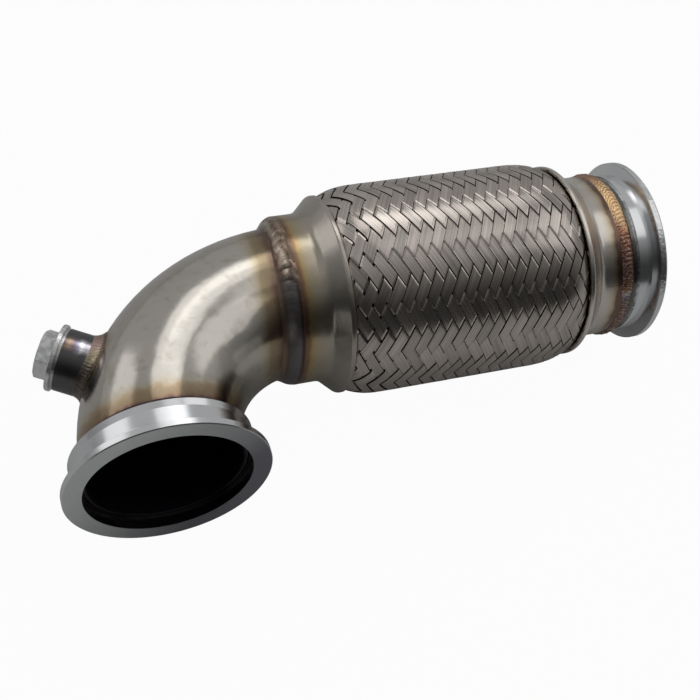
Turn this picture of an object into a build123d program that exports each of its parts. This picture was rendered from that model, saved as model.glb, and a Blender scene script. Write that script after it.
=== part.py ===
from build123d import *
import math
import os

os.makedirs("parts", exist_ok=True)

# A turbo downpipe lying flat: a clamp flange, a right-angle elbow with a plugged sensor bung,
# a braided flex joint between two end caps, and a second clamp flange.
# All lengths are in millimetres. The origin is the centre of the inlet flange's face.
# The inlet opens towards -Y. The elbow turns from +Y to +X. +Z is square to the bend.

# Elbow
pipe_od = 69.7
pipe_wall = 1.5
bend_radius = 74.8
inlet_lead = 10.4          # straight run from the inlet face to the start of the bend
pipe_recess = 6.0          # how far the pipe's end sits behind the inlet face
pipe_tail = 2.0            # straight run past the bend, inside the front cap

# Clamp flanges
flange_bore_clearance = 1.15    # how much larger in radius the flanges' bore is than the pipe
collar_wall = 2.8
rim_height = 5.5           # how far the rims stand above the collars
rim_chamfer = 0.4
inlet_rim_width = 3.0
inlet_taper_end = 6.9      # where the inlet flange's V face meets its collar
inlet_collar_end = 16.0
inlet_collar_flare = 0.5
inlet_bevel_length = 1.4
socket_clearance = 0.55    # around the pipe's end, enough for the start of the bend
outlet_rim_width = 2.6
outlet_chamfer = 1.0
outlet_taper_length = 1.7
outlet_collar_length = 6.5
spigot_length = 11.2       # reduced end of the outlet flange
spigot_reach = 4.7         # how much of it slips into the rear neck
spigot_clearance = 0.1

# Flex joint
neck_clearance = 3.25      # between the pipe and the inside of the necks
cap_wall = 1.5
front_neck_length = 12.6
rear_neck_length = 14.0
cap_cone_length = 7.7
cap_band_clearance = 0.68  # between the braid and the band at the cap's edge
cap_band_width = 1.9
cap_edge_round = 0.4
mouth_offset = -4.6        # front cap's mouth, measured from the end of the bend
flex_length = 115.4        # visible braid between the two caps

# Braid
braid_od = 99.4
braid_tuck = 3.6           # how far the braid runs on inside each cap
braid_tuck_rise = 2.1      # how much larger in radius its tucked ends are than the necks
braid_shoulder = 22.0      # length over which it swells to its full size
braid_wall = 1.3
braid_ridge = 0.6          # height of each strand above the lines between strands
strand_pairs = 13          # pairs of strands in each direction
strand_angle = 63.7        # degrees from the tube's axis
strand_slope = 0.24        # share of each float taken by its sloping sides
weave_turn = 4.7           # degrees from +Y to the first of the weave's points

# Inside the flex joint
inner_clearance = 0.2
ferrule_inside = 2.0       # how far each ferrule starts inside its cap's edge
ferrule_length = 6.0
ferrule_wall = 1.0
ferrule_clearance = 0.3
bellows_wall = 0.4
bellows_clearance = 1.0    # between the waves' crests and the braid's wall
bellows_pitch = 6.0
bellows_flat = 2.0         # width of each crest and each root
bellows_waves = 15
liner_wall = 1.5
liner_overlap = 0.8        # how much larger in radius the liner is than the necks' bore
liner_pitch = 5.0
liner_groove_width = 1.2
liner_groove_depth = 0.5

# Sensor bung and plug
bung_angle = 28.1          # degrees along the bend from its inlet end
bung_turn = 6.0            # degrees up around the pipe from the bend's outer line
bung_od = 27.9
bung_rise = 12.49          # from the elbow's outside to the bung's top
thread_od = 18.0
thread_clearance = 0.05
hole_clearance = 0.6
washer_od = 27.0
washer_thickness = 1.2
plug_flange_od = 30.0
plug_flange_thickness = 2.1
hex_across_flats = 19.3
hex_height = 6.6
hex_chamfer = 1.3
hex_turn = -20.0
shank_length = 12.0

# Welds
inlet_weld_leg = 1.2
bung_weld_leg = 3.2
elbow_weld_start = 12.0    # how far before the end of the bend the bead begins
elbow_weld_inside = 1.2    # how far it reaches into the cap's mouth
elbow_weld_height = 3.15   # crown of the bead above the pipe
outlet_weld_width = 7.2
outlet_weld_crown = 0.8

# Derived sizes
pipe_r = pipe_od / 2
neck_inner_r = pipe_r + neck_clearance
neck_r = neck_inner_r + cap_wall
flange_bore_r = pipe_r + flange_bore_clearance
collar_r = flange_bore_r + collar_wall
rim_r = collar_r + rim_height
braid_r = braid_od / 2
flex_y = inlet_lead + bend_radius
bend_end_x = bend_radius
mouth_x = bend_end_x + mouth_offset
front_edge_x = mouth_x + front_neck_length + cap_cone_length + cap_band_width
rear_edge_x = front_edge_x + flex_length
flex_mid_x = (front_edge_x + rear_edge_x) / 2
neck_end_x = rear_edge_x + cap_band_width + cap_cone_length + rear_neck_length
flex_axis = Axis((0, flex_y, 0), (1, 0, 0))
braid_start_x = front_edge_x - braid_tuck
braid_end_x = rear_edge_x + braid_tuck
braid_tuck_drop = braid_r - neck_r - braid_tuck_rise


def braid_crown(x):
    """Radius over the strands: swells from each tucked end to the full size."""
    along = min(x - braid_start_x, braid_end_x - x) / (braid_tuck + braid_shoulder)
    return braid_r - braid_tuck_drop * (1 - min(max(along, 0), 1)) ** 3


band_r = braid_crown(front_edge_x) + cap_band_clearance + cap_wall
cone_angle = math.atan2(band_r - neck_r, cap_cone_length)
corner_shift = cap_wall * math.tan(cone_angle / 2)


def turned_on_flex(points):
    """A ring about the flex joint's axis, from (x, radius) points of its section."""
    outline = Polyline([(x, flex_y + r) for x, r in points], close=True)
    return revolve(make_face(outline), flex_axis)


def turned_on_inlet(points):
    """A ring about the inlet's axis, from (distance behind the face, radius) points."""
    outline = Polyline([(r, s) for s, r in points], close=True)
    return revolve(make_face(outline), Axis.Y)


def bent_rod(radius, start=pipe_recess, tail=pipe_tail):
    """A solid rod along the elbow's centreline, from its inlet end to past the bend."""
    lead_length = inlet_lead - start
    lead_plane = Plane(origin=(0, start, 0), x_dir=(1, 0, 0), z_dir=(0, 1, 0))
    lead = lead_plane * Cylinder(radius, lead_length, align=(Align.CENTER, Align.CENTER, Align.MIN))
    bend_plane = Plane(origin=(0, inlet_lead, 0), x_dir=(1, 0, 0), z_dir=(0, 1, 0))
    bend = revolve(bend_plane * Circle(radius), Axis((bend_radius, inlet_lead, 0), (0, 0, -1)), 90)
    tail_plane = Plane(origin=(bend_end_x, flex_y, 0), x_dir=(0, 1, 0), z_dir=(1, 0, 0))
    end = tail_plane * Cylinder(radius, tail, align=(Align.CENTER, Align.CENTER, Align.MIN))
    return lead + bend + end


def save(shape, name):
    shape.label = name
    export_step(shape, f"parts/{name}.step")


# Inlet flange: face, rim, V face, flared collar and bevel. Its bore steps down to a socket
# that the elbow's end sits in.
flare_r = collar_r + inlet_collar_flare
bevel_end = inlet_collar_end + inlet_bevel_length
bevel_r = pipe_r + socket_clearance + inlet_weld_leg
socket_r = pipe_r + socket_clearance
inlet_flange = turned_on_inlet([
    (0, flange_bore_r),
    (0, rim_r - rim_chamfer),
    (rim_chamfer, rim_r),
    (inlet_rim_width, rim_r),
    (inlet_taper_end, collar_r),
    (inlet_collar_end - 3, collar_r),
    (inlet_collar_end, flare_r),
    (bevel_end, bevel_r),
    (bevel_end, socket_r),
    (pipe_recess, socket_r),
    (pipe_recess, flange_bore_r),
])
save(inlet_flange, "inlet_flange")

# Elbow: a thin-walled tube with a hole for the bung's thread.
bung_theta = math.radians(bung_angle)
bung_psi = math.radians(bung_turn)
outward = Vector(-math.cos(bung_theta), math.sin(bung_theta), 0)
tangent = Vector(math.sin(bung_theta), math.cos(bung_theta), 0)
bung_axis = outward * math.cos(bung_psi) + Vector(0, 0, 1) * math.sin(bung_psi)
bend_centre = Vector(bend_radius, inlet_lead, 0)
bung_plane = Plane(origin=bend_centre + outward * bend_radius, x_dir=tangent, z_dir=bung_axis)
thread_r = thread_od / 2
bung_r = bung_od / 2
bung_height = pipe_r + bung_rise


def on_bung(shape, height):
    """Stands a shape on the bung's axis, at a height above the pipe's centreline."""
    return bung_plane * Pos(0, 0, height) * shape


def upright(radius, height):
    return Cylinder(radius, height, align=(Align.CENTER, Align.CENTER, Align.MIN))


outer_rod = bent_rod(pipe_r)
inner_rod = bent_rod(pipe_r - pipe_wall, start=pipe_recess - 1, tail=pipe_tail + 1)
bung_hole = on_bung(upright(thread_r + hole_clearance, bung_height), 0)
elbow = outer_rod - inner_rod - bung_hole
save(elbow, "elbow")

# Fillet weld between the inlet flange's collar and the elbow.
inlet_weld = turned_on_inlet([
    (bevel_end, pipe_r - pipe_wall / 2),
    (bevel_end, bevel_r),
    (bevel_end + inlet_weld_leg * 0.35, bevel_r - inlet_weld_leg * 0.6),
    (bevel_end + inlet_weld_leg, pipe_r - pipe_wall / 2),
]) - outer_rod
save(inlet_weld, "inlet_flange_weld")

# Sensor bung: a threaded boss with a saddle-cut foot on the elbow.
bung_foot = pipe_r - pipe_wall
sensor_bung = on_bung(upright(bung_r, bung_height - bung_foot / 2), bung_foot / 2) - outer_rod
sensor_bung = sensor_bung - bung_hole.intersect(on_bung(upright(thread_r + thread_clearance, bung_height), 0))
sensor_bung = sensor_bung.solids().sort_by(lambda s: -s.volume)[0]
save(sensor_bung, "sensor_bung")

# Fillet weld around the bung's foot, following the saddle.
weld_skin = bent_rod(pipe_r + bung_weld_leg)
weld_reach = on_bung(upright(bung_r + bung_weld_leg, bung_height), bung_foot / 2)
bung_core = on_bung(upright(bung_r, bung_height), bung_foot / 2)
bung_weld = (weld_reach & weld_skin) - outer_rod - bung_core
bung_weld = bung_weld.solids().sort_by(lambda s: -s.volume)[0]
save(bung_weld, "sensor_bung_weld")

# Washer and hexagon plug.
plug_washer = on_bung(
    upright(washer_od / 2, washer_thickness) - upright(thread_r + 2 * thread_clearance, washer_thickness),
    bung_height,
)
save(plug_washer, "plug_washer")

plug_seat = bung_height + washer_thickness
hex_radius = hex_across_flats / math.sqrt(3)
hex_blank = extrude(RegularPolygon(hex_radius, 6, rotation=hex_turn), hex_height)
hex_trim = upright(hex_radius, hex_height)
hex_trim = chamfer(hex_trim.edges().group_by(Axis.Z)[-1], hex_chamfer * 0.6, hex_chamfer)
plug = upright(plug_flange_od / 2, plug_flange_thickness)
plug = chamfer(plug.edges(), 0.3)
plug = plug + Pos(0, 0, plug_flange_thickness) * (hex_blank & hex_trim)
plug = plug + Pos(0, 0, -shank_length) * upright(thread_r, shank_length)
bung_plug = on_bung(plug, plug_seat)
save(bung_plug, "bung_plug")


# End caps: neck, cone and rolled band. Each section runs from the band's edge to the neck's end.
def cap(edge_x, way, neck_length):
    """An end cap whose neck points along way: -1 for the front cap, 1 for the rear cap."""
    cone_end = cap_band_width + cap_cone_length
    section = [
        (0, band_r),
        (cap_band_width, band_r),
        (cone_end, neck_r),
        (cone_end + neck_length, neck_r),
        (cone_end + neck_length, neck_r - cap_wall),
        (cone_end - corner_shift, neck_r - cap_wall),
        (cap_band_width - corner_shift, band_r - cap_wall),
        (0, band_r - cap_wall),
    ]
    ring = turned_on_flex([(edge_x + way * t, r) for t, r in section])
    edges = ring.edges().filter_by(GeomType.CIRCLE).sort_by(lambda e: -e.length)
    return fillet(edges[:2], cap_edge_round)


front_cap = cap(front_edge_x, -1, front_neck_length)
rear_cap = cap(rear_edge_x, 1, rear_neck_length)
save(front_cap, "front_cap")
save(rear_cap, "rear_cap")

# Weld bead between the elbow and the front cap's mouth.
bead_start_x = bend_end_x - elbow_weld_start
crown_r = pipe_r + elbow_weld_height
elbow_bead = turned_on_flex([
    (bead_start_x, pipe_r - pipe_wall),
    (bead_start_x, pipe_r + 0.1),
    (bead_start_x + 1.6, crown_r - 1.6),
    (bead_start_x + 3.2, crown_r - 0.4),
    (bead_start_x + 5.2, crown_r),
    (mouth_x, crown_r),
    (mouth_x, neck_inner_r),
    (mouth_x + elbow_weld_inside, neck_inner_r),
    (mouth_x + elbow_weld_inside, pipe_r - pipe_wall),
]) - outer_rod - inner_rod
elbow_bead = elbow_bead.solids().sort_by(lambda s: -s.volume)[0]
save(elbow_bead, "elbow_weld")

# Outlet flange: its spigot slips into the rear neck, and its face points along +X.
spigot_r = neck_inner_r - spigot_clearance
spigot_x = neck_end_x - spigot_reach
outlet_collar_x = spigot_x + spigot_length
outlet_taper_x = outlet_collar_x + outlet_collar_length
outlet_rim_x = outlet_taper_x + outlet_taper_length
outlet_face_x = outlet_rim_x + outlet_rim_width + outlet_chamfer
outlet_flange = turned_on_flex([
    (spigot_x, flange_bore_r),
    (spigot_x, spigot_r),
    (outlet_collar_x, spigot_r),
    (outlet_collar_x, collar_r),
    (outlet_taper_x, collar_r),
    (outlet_rim_x, rim_r),
    (outlet_rim_x + outlet_rim_width, rim_r),
    (outlet_face_x, rim_r - outlet_chamfer),
    (outlet_face_x, flange_bore_r),
])
save(outlet_flange, "outlet_flange")

# Weld bead between the rear neck and the outlet flange's spigot.
half_bead = outlet_weld_width / 2
bead_r = neck_r + outlet_weld_crown
outlet_bead = turned_on_flex([
    (neck_end_x - half_bead, neck_r),
    (neck_end_x - half_bead * 0.75, bead_r - outlet_weld_crown * 0.45),
    (neck_end_x - half_bead * 0.35, bead_r),
    (neck_end_x + half_bead * 0.2, bead_r - outlet_weld_crown * 0.2),
    (neck_end_x + half_bead * 0.65, bead_r - outlet_weld_crown * 1.3),
    (neck_end_x + half_bead, spigot_r),
    (neck_end_x, spigot_r),
    (neck_end_x, neck_r),
])
save(outlet_bead, "outlet_weld")

# Braid: flat strands woven two over, two under, as ridges on one closed wall.
strand_count = 2 * strand_pairs
column_count = 2 * strand_count
strand_pitch = 2 * math.pi * braid_r / strand_count
braid_length = braid_end_x - braid_start_x
step_count = round(braid_length * 2 * math.tan(math.radians(strand_angle)) / strand_pitch)
step_length = braid_length / step_count


def braid_point(column, step, depth):
    """A point at a column around the tube, a step along it and a depth under the crown."""
    x = braid_start_x + step * step_length
    r = braid_crown(x) - depth
    angle = math.radians(weave_turn) + 2 * math.pi * column / column_count
    return (x, flex_y + r * math.cos(angle), r * math.sin(angle))


def float_outline(column, step, slope):
    """Corners of one float over two crossings, as (column, step), held between the ends."""
    corners = [
        (column - 1, step),
        (column, step - slope),
        (column + 1, step),
        (column + 2, step + slope),
        (column + 1, step + 2 * slope),
        (column, step + slope),
    ]
    held = [(c, min(max(s, 0), step_count)) for c, s in corners]
    return held, held != corners


def without_spikes(corners):
    """Drops the doubled-back corners that an end of the braid leaves on a cut float."""
    k = 0
    while len(corners) > 2 and k < len(corners):
        after = (k + 1) % len(corners)
        if corners[k - 1] == corners[after]:
            corners = [p for i, p in enumerate(corners) if i not in (k, after)]
            k = 0
        else:
            k += 1
    return corners


def float_facets(column, step, slope):
    """Facets of one raised float, or flat ones where an end of the braid cuts it."""
    outline, cut = float_outline(column, step, slope)
    if len({s for _, s in outline}) == 1:
        return []
    if cut:
        outline = without_spikes(outline)
    edge = [(c, s, braid_ridge) for c, s in outline]
    sides = list(zip(edge, edge[1:] + edge[:1]))
    if cut:
        middle = tuple(sum(p[i] for p in edge) / len(edge) for i in range(3))
        return [(p, q, middle) for p, q in sides]
    mid_column = column + 0.5
    mid_step = step + slope / 2
    top = []
    for c, s in outline:
        top.append((c - (c - mid_column) * strand_slope, s - (s - mid_step) * strand_slope, 0))
    facets = [(top[0], top[1], top[5])]
    facets.append((top[1], top[2], top[5]))
    facets.append((top[2], top[4], top[5]))
    facets.append((top[2], top[3], top[4]))
    for i, (p, q) in enumerate(sides):
        j = (i + 1) % 6
        facets.append((p, q, top[j]))
        facets.append((p, top[j], top[i]))
    return facets


facets = []
for column in range(0, column_count, 2):
    slope = 1 if column % 4 == 0 else -1
    for step in range(-2, step_count + 3, 2):
        facets += float_facets(column, step, slope)

# A plain inner wall, with its rings close together on the shoulders, and two end rims.
shoulder_share = [0.1, 0.2, 0.32, 0.47, 0.66]
shoulder_reach = (braid_tuck + braid_shoulder) / step_length
ring_steps = [0] + [share * shoulder_reach for share in shoulder_share] + [shoulder_reach]
ring_steps += [step_count - s for s in reversed(ring_steps)]
for column in range(column_count):
    for a, b in zip(ring_steps, ring_steps[1:]):
        wall = [(column, a), (column + 1, a), (column + 1, b), (column, b)]
        facets.append([(c, s, braid_wall) for c, s in wall])
    for s in (0, step_count):
        rim = [(column, s, braid_ridge), (column + 1, s, braid_ridge)]
        facets.append(rim + [(column + 1, s, braid_wall), (column, s, braid_wall)])

faces = [Face(Wire.make_polygon([braid_point(*p) for p in facet])) for facet in facets]
braid = Solid(Shell(faces))
braid.label = "braid"
export_step(braid, "parts/braid.step", write_pcurves=False)

# Ferrules: conical rings that clamp the braid's tucked ends from inside.
liner_r = neck_inner_r + liner_overlap
cuff_r = liner_r + inner_clearance + bellows_wall


def under_braid(x):
    return braid_crown(x) - braid_wall - ferrule_clearance


def ferrule(edge_x, way):
    """A ring from inside the cap's edge, widening towards the joint's middle along way."""
    near = edge_x - way * ferrule_inside
    far = near + way * ferrule_length
    return turned_on_flex([
        (near, under_braid(near) - ferrule_wall),
        (near, under_braid(near)),
        (far, under_braid(far)),
        (far, under_braid(far) - ferrule_wall),
    ])


save(ferrule(front_edge_x, 1), "front_ferrule")
save(ferrule(rear_edge_x, -1), "rear_ferrule")


def seat_depth(radius):
    """How deep inside a cap's edge a tube of this radius meets the cap's cone."""
    cone_slope = cap_cone_length / (band_r - neck_r)
    drop = band_r - cap_wall - radius - inner_clearance
    return cap_band_width - corner_shift + drop * cone_slope


# Bellows: a thin wall of steep waves between two plain cuffs.
root_r = cuff_r - bellows_wall / 2
crest_r = braid_r - braid_wall - bellows_clearance - bellows_wall / 2
waves_start_x = flex_mid_x - bellows_pitch * bellows_waves / 2
cuff_start_x = front_edge_x - seat_depth(cuff_r)
cuff_end_x = rear_edge_x + seat_depth(cuff_r)
wave_run = bellows_pitch / 2 - bellows_flat
wave_angle = math.atan2(crest_r - root_r, wave_run)


def wave_side(side):
    """Points of one side of the wavy wall, half a wall away from its middle."""
    away = side * bellows_wall / 2
    shift = away * math.tan(wave_angle / 2)
    half_root = bellows_flat / 2 - shift
    half_crest = bellows_flat / 2 + shift
    points = [(cuff_start_x, root_r + away)]
    for i in range(bellows_waves):
        start = waves_start_x + i * bellows_pitch
        end = start + bellows_pitch
        middle = (start + end) / 2
        points.append((start + half_root, root_r + away))
        points.append((middle - half_crest, crest_r + away))
        points.append((middle + half_crest, crest_r + away))
        points.append((end - half_root, root_r + away))
    points.append((cuff_end_x, root_r + away))
    return points


bellows = turned_on_flex(wave_side(1) + wave_side(-1)[::-1])
save(bellows, "bellows")

# Interlock liner: the inner tube that carries the gas, with a groove between its turns.
liner_start_x = front_edge_x - seat_depth(liner_r)
liner_end_x = rear_edge_x + seat_depth(liner_r)
liner_inner_r = liner_r - liner_wall
liner_section = [(liner_end_x, liner_inner_r), (liner_end_x, liner_r)]
liner_section += [(liner_start_x, liner_r), (liner_start_x, liner_inner_r)]
groove_count = int((liner_end_x - liner_start_x) / liner_pitch) - 1
first_groove_x = flex_mid_x - liner_pitch * (groove_count - 1) / 2
for i in range(groove_count):
    x = first_groove_x + i * liner_pitch
    groove_r = liner_inner_r + liner_groove_depth
    liner_section += [(x - liner_groove_width / 2, liner_inner_r), (x - liner_groove_width / 2, groove_r)]
    liner_section += [(x + liner_groove_width / 2, groove_r), (x + liner_groove_width / 2, liner_inner_r)]
save(turned_on_flex(liner_section), "interlock_liner")
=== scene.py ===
import math
import random

import bpy
from bpy.props import FloatProperty, FloatVectorProperty, IntProperty, PointerProperty
from mathutils import Matrix, Vector


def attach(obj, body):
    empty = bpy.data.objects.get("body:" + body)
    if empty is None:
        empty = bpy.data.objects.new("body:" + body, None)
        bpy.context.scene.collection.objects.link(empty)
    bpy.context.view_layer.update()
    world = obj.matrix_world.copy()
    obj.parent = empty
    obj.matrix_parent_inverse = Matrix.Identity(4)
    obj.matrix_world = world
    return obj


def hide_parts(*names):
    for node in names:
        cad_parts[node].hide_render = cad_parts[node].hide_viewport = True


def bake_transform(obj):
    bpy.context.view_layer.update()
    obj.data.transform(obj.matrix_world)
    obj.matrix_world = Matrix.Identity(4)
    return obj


bl_info = {
    "name": "Downpipe",
    "version": (1, 0, 0),
    "blender": (4, 5, 0),
    "location": "3D View > Sidebar > Downpipe",
    "description": "Dresses the downpipe's solids: woven braid, weld beads, heat tint and a studio",
    "category": "Object",
}

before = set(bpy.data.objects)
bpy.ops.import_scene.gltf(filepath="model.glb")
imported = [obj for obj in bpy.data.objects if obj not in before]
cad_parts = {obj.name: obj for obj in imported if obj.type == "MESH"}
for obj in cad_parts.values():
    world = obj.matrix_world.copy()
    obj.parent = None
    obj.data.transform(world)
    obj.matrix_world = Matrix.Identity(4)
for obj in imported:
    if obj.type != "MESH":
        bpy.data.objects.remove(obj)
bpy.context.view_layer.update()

# Sizes from the part's source, in millimetres, so pieces meet the solids they sit on.
# The elbow and the two caps
PIPE_R = 34.85
BEND_R = 74.8
INLET_LEAD = 10.4
FLEX_Y = 85.2
NECK_R = 39.6
NECK_INNER_R = 38.1
MOUTH_X = 70.2
FRONT_EDGE_X = 92.4
REAR_EDGE_X = 207.8
NECK_END_X = 231.4
BAND_R = 46.8
BAND_WIDTH = 1.9
CONE_LENGTH = 7.7
CORNER_SHIFT = 0.58

# The braid: STEPS crossings along it and COLUMNS places around it
BRAID_R = 49.7
BRAID_START_X = 88.8
BRAID_END_X = 211.4
BRAID_DROP = 8.0
BRAID_SHOULDER = 25.6
STEPS = 41
COLUMNS = 52
WEAVE_TURN = math.radians(4.7)
STRAND_SLOPE = 0.24        # share of each float taken by its sloping sides
STRAND_GAP = 0.24          # air left between strands that cross
BRAID_SINK = 0.05          # keeps the loosest strand within the solid's outline
SHADED_SIDE_TONE = -1.0           # tone that marks the strands' sides and undersides, painted near black as shade

# The inner tubes, the flanges' welded ends and the sensor bung
LINER_R = 38.9
CUFF_R = 39.5
BEVEL_END = 17.4
SPIGOT_R = 38.0
BUNG_R = 13.95
BUNG_THETA = math.radians(28.1)
BUNG_PSI = math.radians(6.0)
FAR_FROM_WELD = -100       # stands for a weld too far off to tint anything
FLOOR_Z = -49.75

BUNG_OUT = Vector((-math.cos(BUNG_THETA), math.sin(BUNG_THETA), 0))
BUNG_X = Vector((math.sin(BUNG_THETA), math.cos(BUNG_THETA), 0))
BUNG_AXIS = BUNG_OUT * math.cos(BUNG_PSI) + Vector((0, 0, 1)) * math.sin(BUNG_PSI)
BUNG_Y = BUNG_AXIS.cross(BUNG_X)
BEND_CENTRE = Vector((BEND_R, INLET_LEAD, 0))
BUNG_FOOT = BEND_CENTRE + BUNG_OUT * BEND_R


# Shader maths and materials

class Value:
    """A number that varies over a surface, so that plain maths on it adds the nodes."""

    def __init__(self, finish, socket):
        self.finish = finish
        self.socket = socket

    def maths(self, operation, *others):
        sockets = {i: v for i, v in enumerate((self,) + others)}
        return Value(self.finish, self.finish.node("Math", {"operation": operation}, sockets).outputs[0])

    def __add__(self, other):
        return self.maths("ADD", other)

    def __sub__(self, other):
        return self.maths("SUBTRACT", other)

    def __mul__(self, other):
        return self.maths("MULTIPLY", other)

    def __truediv__(self, other):
        return self.maths("DIVIDE", other)

    def __rsub__(self, other):
        return self * -1 + other

    __radd__ = __add__
    __rmul__ = __mul__

    def __abs__(self):
        return self.maths("ABSOLUTE")

    def at_least(self, other):
        return self.maths("MAXIMUM", other)

    def root(self):
        return self.maths("SQRT")

    def sine(self):
        return self.maths("SINE")

    def angle_from(self, other):
        return self.maths("ARCTAN2", other)

    def above(self, other):
        return self.maths("GREATER_THAN", other)

    def rise(self, low, high):
        """0 below low, 1 above high and smooth between them. It falls where low is above high."""
        sockets = {"Value": self, "From Min": low, "From Max": high}
        node = self.finish.node("MapRange", {"interpolation_type": "SMOOTHSTEP"}, sockets)
        return Value(self.finish, node.outputs[0])


def hypot(a, b):
    """Distance from an axis, from two Values square to it."""
    return (a * a + b * b).root()


def about_bung(f):
    """Place along the sensor bung's axis, distance from it and turn about it in radians."""
    place = f.vector(f.x - BUNG_FOOT.x, f.y - BUNG_FOOT.y, f.z)
    dots = (
        f.node("VectorMath", {"operation": "DOT_PRODUCT"}, {0: place, 1: tuple(way)})
        for way in (BUNG_AXIS, BUNG_X, BUNG_Y)
    )
    along, side, rise = (Value(f, dot.outputs["Value"]) for dot in dots)
    return along, hypot(side, rise), rise.angle_from(side)


class Finish:
    """The nodes of one material or world, with the few calls that they are made by."""

    def __init__(self, name, world=False):
        self.material = (bpy.data.worlds if world else bpy.data.materials).new(name)
        self.material.use_nodes = True
        self.tree = self.material.node_tree
        self.tree.nodes.clear()
        place = self.node("TexCoord").outputs["Generated" if world else "Object"]
        scaled = self.node("VectorMath", {"operation": "SCALE"}, {0: place, "Scale": 1000.0}).outputs[0]
        self.place = scaled
        parts = self.node("SeparateXYZ", {}, {0: scaled})
        self.x, self.y, self.z = (Value(self, s) for s in parts.outputs)

    def node(self, kind, settings=None, sockets=None):
        node = self.tree.nodes.new("ShaderNode" + kind)
        for key, value in (settings or {}).items():
            if key == "stops":
                ramp = node.color_ramp
                while len(ramp.elements) < len(value):
                    ramp.elements.new(0.5)
                for element, (position, colour) in zip(ramp.elements, value):
                    element.position = position
                    element.color = (*colour, 1)
            else:
                setattr(node, key, value)
        for key, value in (sockets or {}).items():
            if isinstance(value, Value):
                value = value.socket
            if isinstance(value, bpy.types.NodeSocket):
                self.tree.links.new(value, node.inputs[key])
            else:
                if isinstance(value, tuple) and len(value) == 3 and node.inputs[key].type == "RGBA":
                    value = (*value, 1)
                node.inputs[key].default_value = value
        return node

    def noise(self, scale, detail=3, stretch=(1, 1, 1), where=None):
        """Noise from 0 to 1; scale is in waves per millimetre."""
        source = where or self.place
        vector = self.node("VectorMath", {"operation": "MULTIPLY"}, {0: source, 1: stretch}).outputs[0]
        sockets = {"Vector": vector, "Scale": scale, "Detail": detail, "Roughness": 0.55}
        return Value(self, self.node("TexNoise", {"noise_dimensions": "3D"}, sockets).outputs[0])

    def vector(self, x, y, z):
        return self.node("CombineXYZ", {}, {0: x, 1: y, 2: z}).outputs[0]

    def turn_share(self):
        """Share of a turn round the flex joint: 0.5 on the elbow's outer side, 0.75 on top."""
        return self.z.angle_from(self.y - FLEX_Y) / (2 * math.pi) + 0.5

    def mix(self, share, a, b, blend="MIX"):
        settings = {"data_type": "RGBA", "blend_type": blend}
        return self.node("Mix", settings, {0: share, 6: a, 7: b}).outputs[2]

    def ramp(self, value, stops):
        return self.node("ValToRGB", {"stops": stops}, {0: value}).outputs[0]

    def metal(self, colour, roughness, height=None, depth=0.05, metallic=1.0):
        """Closes the material as bare metal. Height is in millimetres, times depth."""
        sockets = {"Base Color": colour, "Roughness": roughness, "Metallic": metallic}
        if height is not None:
            sockets["Normal"] = self.node("Bump", {}, {
                "Strength": 1.0, "Distance": depth * 0.001, "Height": height,
            }).outputs[0]
        shader = self.node("BsdfPrincipled", {}, sockets).outputs[0]
        self.node("OutputMaterial", {}, {0: shader})
        return self.material

    def tint(self, base, distance, stops):
        """Heat colours by distance in millimetres: (distance, colour, strength) stops."""
        reach = stops[-1][0]
        share = distance / reach
        colours = self.ramp(share, [(d / reach, c) for d, c, _ in stops])
        strength = self.ramp(share, [(d / reach, (s, s, s)) for d, _, s in stops])
        return self.mix(strength, base, colours, "MULTIPLY")


def dress(name, material):
    """Gives a CAD node its material, in all of its slots."""
    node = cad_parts[name]
    if not node.material_slots:
        node.data.materials.append(material)
    for slot in node.material_slots:
        slot.material = material


# Mesh helpers

def make_piece(name, points, faces, material, sharp=50):
    """A mesh object from points in millimetres. Edges over sharp degrees aren't smoothed."""
    mesh = bpy.data.meshes.new(name)
    mesh.from_pydata([(x * 0.001, y * 0.001, z * 0.001) for x, y, z in points], [], faces)
    mesh.validate()
    mesh.materials.append(material)
    mesh.shade_smooth()
    mesh.set_sharp_from_angle(angle=math.radians(sharp))
    piece = bpy.data.objects.new(name, mesh)
    bpy.context.scene.collection.objects.link(piece)
    return piece


def closed_ring(rows, columns):
    """Quads of a closed tube of section points: rows around, columns along each section."""
    faces = []
    for i in range(rows):
        for j in range(columns):
            a = i * columns + j
            b = i * columns + (j + 1) % columns
            c = ((i + 1) % rows) * columns + (j + 1) % columns
            d = ((i + 1) % rows) * columns + j
            faces.append((a, b, c, d))
    return faces


def around_flex(x, r, angle):
    return (x, FLEX_Y + r * math.cos(angle), r * math.sin(angle))


def rounded(corners, steps=6):
    """Points of a closed outline, from corners given as (x, r, corner radius)."""
    points = []
    for i, (x, r, radius) in enumerate(corners):
        corner = Vector((x, r))
        if radius == 0:
            points.append((x, r))
            continue
        before = (Vector(corners[i - 1][:2]) - corner).normalized()
        after = (Vector(corners[(i + 1) % len(corners)][:2]) - corner).normalized()
        half = before.angle(after) / 2
        centre = corner + (before + after).normalized() * (radius / math.sin(half))
        reach = radius / math.tan(half)
        first = corner + before * reach - centre
        last = corner + after * reach - centre
        for k in range(steps + 1):
            points.append(tuple(centre + first.slerp(last, k / steps) * radius))
    return points


def turned_on_flex(name, section, material, rows, sharp=50):
    """A turned piece around the flex joint's axis."""
    points = [around_flex(x, r, 2 * math.pi * i / rows) for i in range(rows) for x, r in section]
    return make_piece(name, points, closed_ring(rows, len(section)), material, sharp)


# Braid

# Where each float's rings stand from the crossing before it, closer together where it slopes.
RING_OFFSETS = (-0.22, -0.11, 0.0, 0.11, 0.22, 0.6, 1.0, 1.4)

# How far the weave has crept along the tube at a few places: (x, shift).
WEAVE_CREEP = (
    (88.8, -0.8), (104, -0.7), (116, 0.3), (140, 0.4), (152, 0.2), (170, -0.7), (182, -1.2),
    (194, -1.6), (211.4, -1.7),
)


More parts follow.
